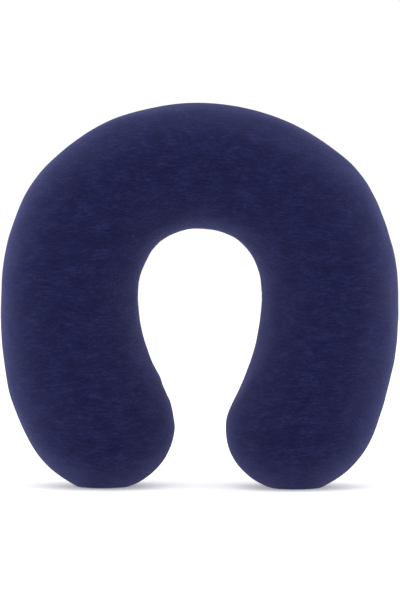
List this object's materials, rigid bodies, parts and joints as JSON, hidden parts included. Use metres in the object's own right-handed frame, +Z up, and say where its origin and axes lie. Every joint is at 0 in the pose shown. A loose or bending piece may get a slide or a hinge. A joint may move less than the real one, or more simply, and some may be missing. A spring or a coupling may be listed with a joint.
{
  "type": "u shaped neck pillow",
  "caption": "Padded U-shaped travel neck pillow: a foam core in a liner and a zipped velour cover.",
  "frame": {"origin": "on the surface the pillow stands on, below the centre of its bounding box", "axes": "+Z up, from the leg ends to the back of the neck; +X to one side; -Y out of the front face"},
  "size_m": [0.318, 0.1044, 0.3063],
  "materials": {
    "velour_front": "heathered velour",
    "velour_back": "heathered velour",
    "thread": "matt spun thread",
    "label": "satin ribbon",
    "liner": "thin tricot",
    "liner_thread": "matt spun thread",
    "foam": "moulded open-cell foam",
    "zipper_tape": "woven polyester",
    "zipper_coil": "nylon monofilament",
    "zipper_metal": "plain",
    "slider_enamel": "satin enamel",
    "pull_enamel": "satin enamel"
  },
  "bodies": {
    "pillow": {"cover_front_panel": "velour_front", "cover_back_panel": "velour_back", "cover_seam_thread": "thread", "care_label": "label", "liner_front_panel": "liner", "liner_back_panel": "liner", "liner_seam_thread": "liner_thread", "foam_core": "foam", "zipper_tape_front": "zipper_tape", "zipper_tape_back": "zipper_tape", "zipper_stitching_front": "thread", "zipper_stitching_back": "thread", "zipper_coil_front": "zipper_coil", "zipper_coil_back": "zipper_coil", "zipper_top_stop_front": "zipper_metal", "zipper_top_stop_back": "zipper_metal", "zipper_bottom_stop": "zipper_metal"},
    "slider": {"zipper_slider": "slider_enamel"},
    "pull": {"zipper_pull": "pull_enamel"}
  },
  "joints": [
    {"name": "zipper slider", "type": "hinge", "parent": "pillow", "child": "slider", "pos_m": [0, 0.018, 0.1313], "axis": [0, 1, 0], "range_deg": [0, 77.4]},
    {"name": "zipper pull", "type": "hinge", "parent": "slider", "child": "pull", "pos_m": [-0.10866, 0.01835, 0.26693], "axis": [0.2159, 0.9385, -0.2695], "range_deg": [0, 182]}
  ]
}
